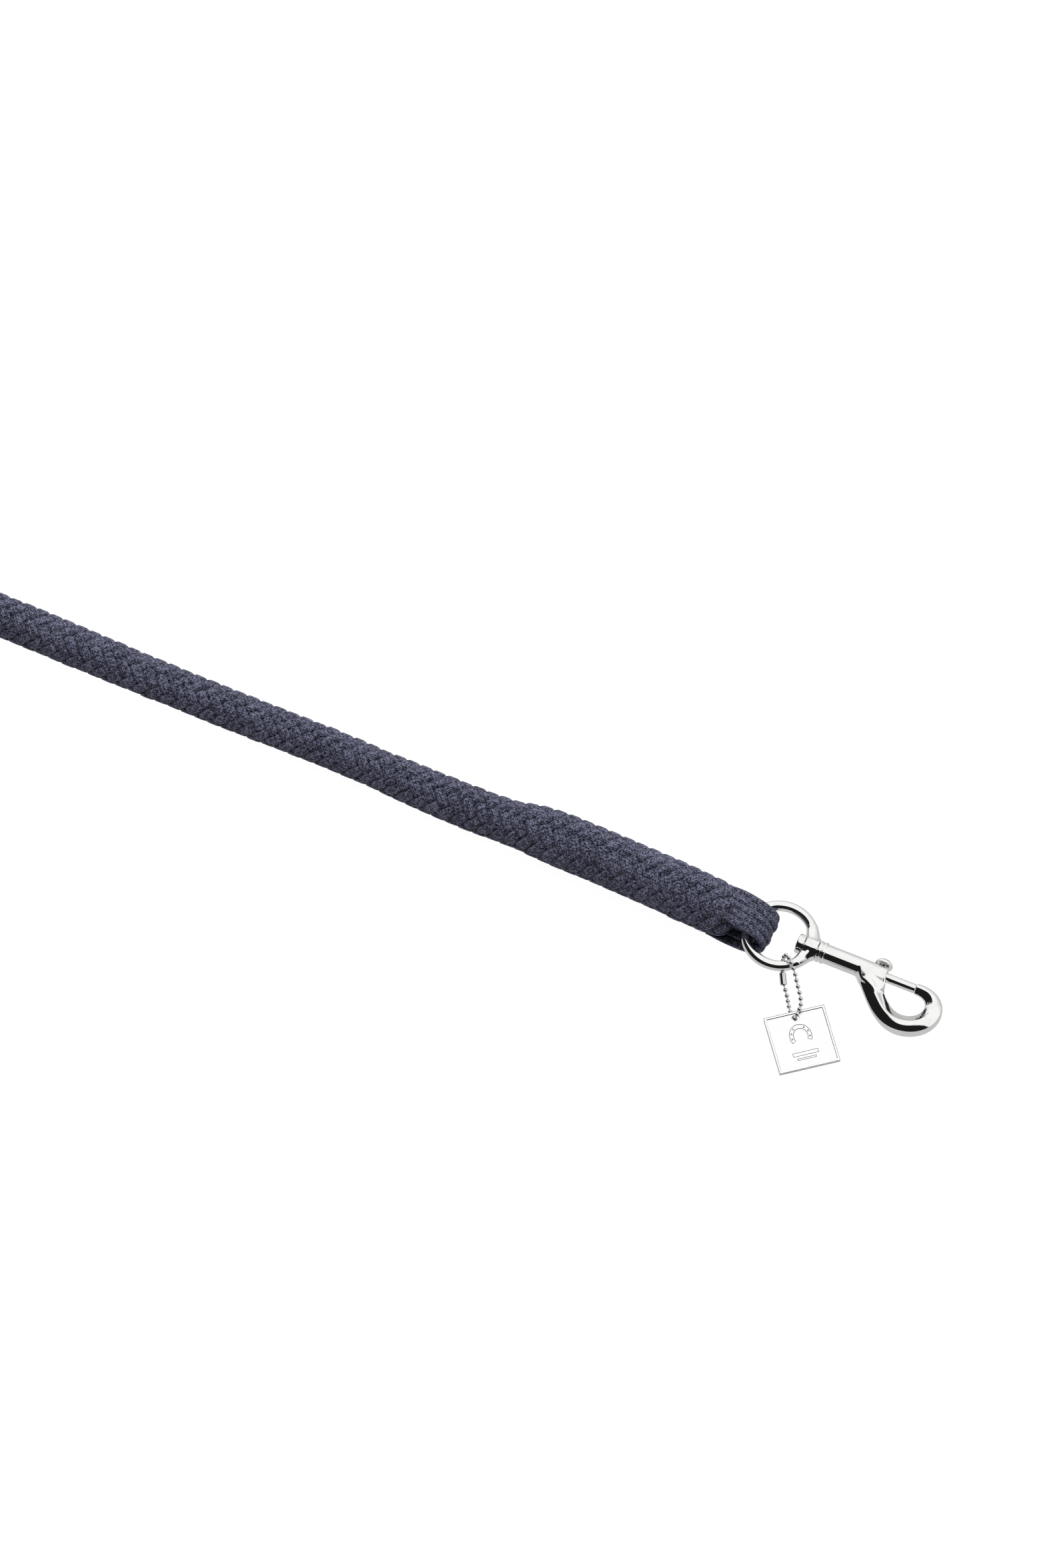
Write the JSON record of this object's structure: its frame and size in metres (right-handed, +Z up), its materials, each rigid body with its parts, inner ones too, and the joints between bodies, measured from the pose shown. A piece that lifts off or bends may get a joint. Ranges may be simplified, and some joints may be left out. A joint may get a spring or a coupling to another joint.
{
  "type": "lead rope",
  "caption": "Plaited rope lead with a spliced eye, a swivel bolt snap and a square metal tag on a ball chain; its spare length lies in a flat coil.",
  "frame": {"origin": "on the floor under the middle of the snap, chain and tag", "axes": "+X along the snap from the rope to the tip of the hook, +Y across it, +Z up from the floor that the rope lies on"},
  "size_m": [0.782, 0.2718, 0.0278],
  "materials": {
    "rope": "knitted polyester cord, dark navy grey",
    "snap_metal": "polished nickel plating",
    "spring_steel": "drawn wire",
    "chain_metal": "nickel-plated steel balls",
    "tag_metal": "satin silver plating with a polished rim"
  },
  "bodies": {
    "rope": {"rope_run": "rope", "rope_coil": "rope", "rope_end": "rope", "rope_splice": "rope", "splice_tail": "rope", "rope_eye": "rope"},
    "ring": {"swivel_eye": "snap_metal"},
    "snap": {"hook_body": "snap_metal", "swivel_rivet": "snap_metal", "bolt_spring": "spring_steel"},
    "bolt": {"bolt": "snap_metal", "thumb_knob": "snap_metal"},
    "chain": {"chain_beads": "chain_metal", "chain_links": "chain_metal", "chain_connector": "chain_metal"},
    "tag": {"tag_plate": "tag_metal"}
  },
  "joints": [
    {"name": "ring_swing", "type": "hinge", "parent": "rope", "child": "ring", "pos_m": [-0.05437, 0.0254, 0.0115], "axis": [0, 1, 0], "range_deg": [-90, 90]},
    {"name": "snap_swivel", "type": "hinge", "parent": "ring", "child": "snap", "pos_m": [-0.0368, 0.0254, 0.01041], "axis": [0.9981, 0, -0.0617], "continuous": true},
    {"name": "bolt_slide", "type": "slide", "parent": "snap", "child": "bolt", "axis": [-0.9981, 0, 0.0617], "range_m": [0, 0.014], "stiffness_N_per_m": 500, "springref_m": -0.006, "deforming": ["bolt_spring"]},
    {"name": "chain_swing", "type": "hinge", "parent": "ring", "child": "chain", "pos_m": [-0.02802, 0.01016, 0.00987], "axis": [0.8644, 0.5, -0.0534], "range_deg": [-100, 90]},
    {"name": "tag_swing", "type": "hinge", "parent": "chain", "child": "tag", "pos_m": [-0.01222, -0.0134, 0.00357], "axis": [0, 0, 1], "range_deg": [-40, 12]}
  ]
}
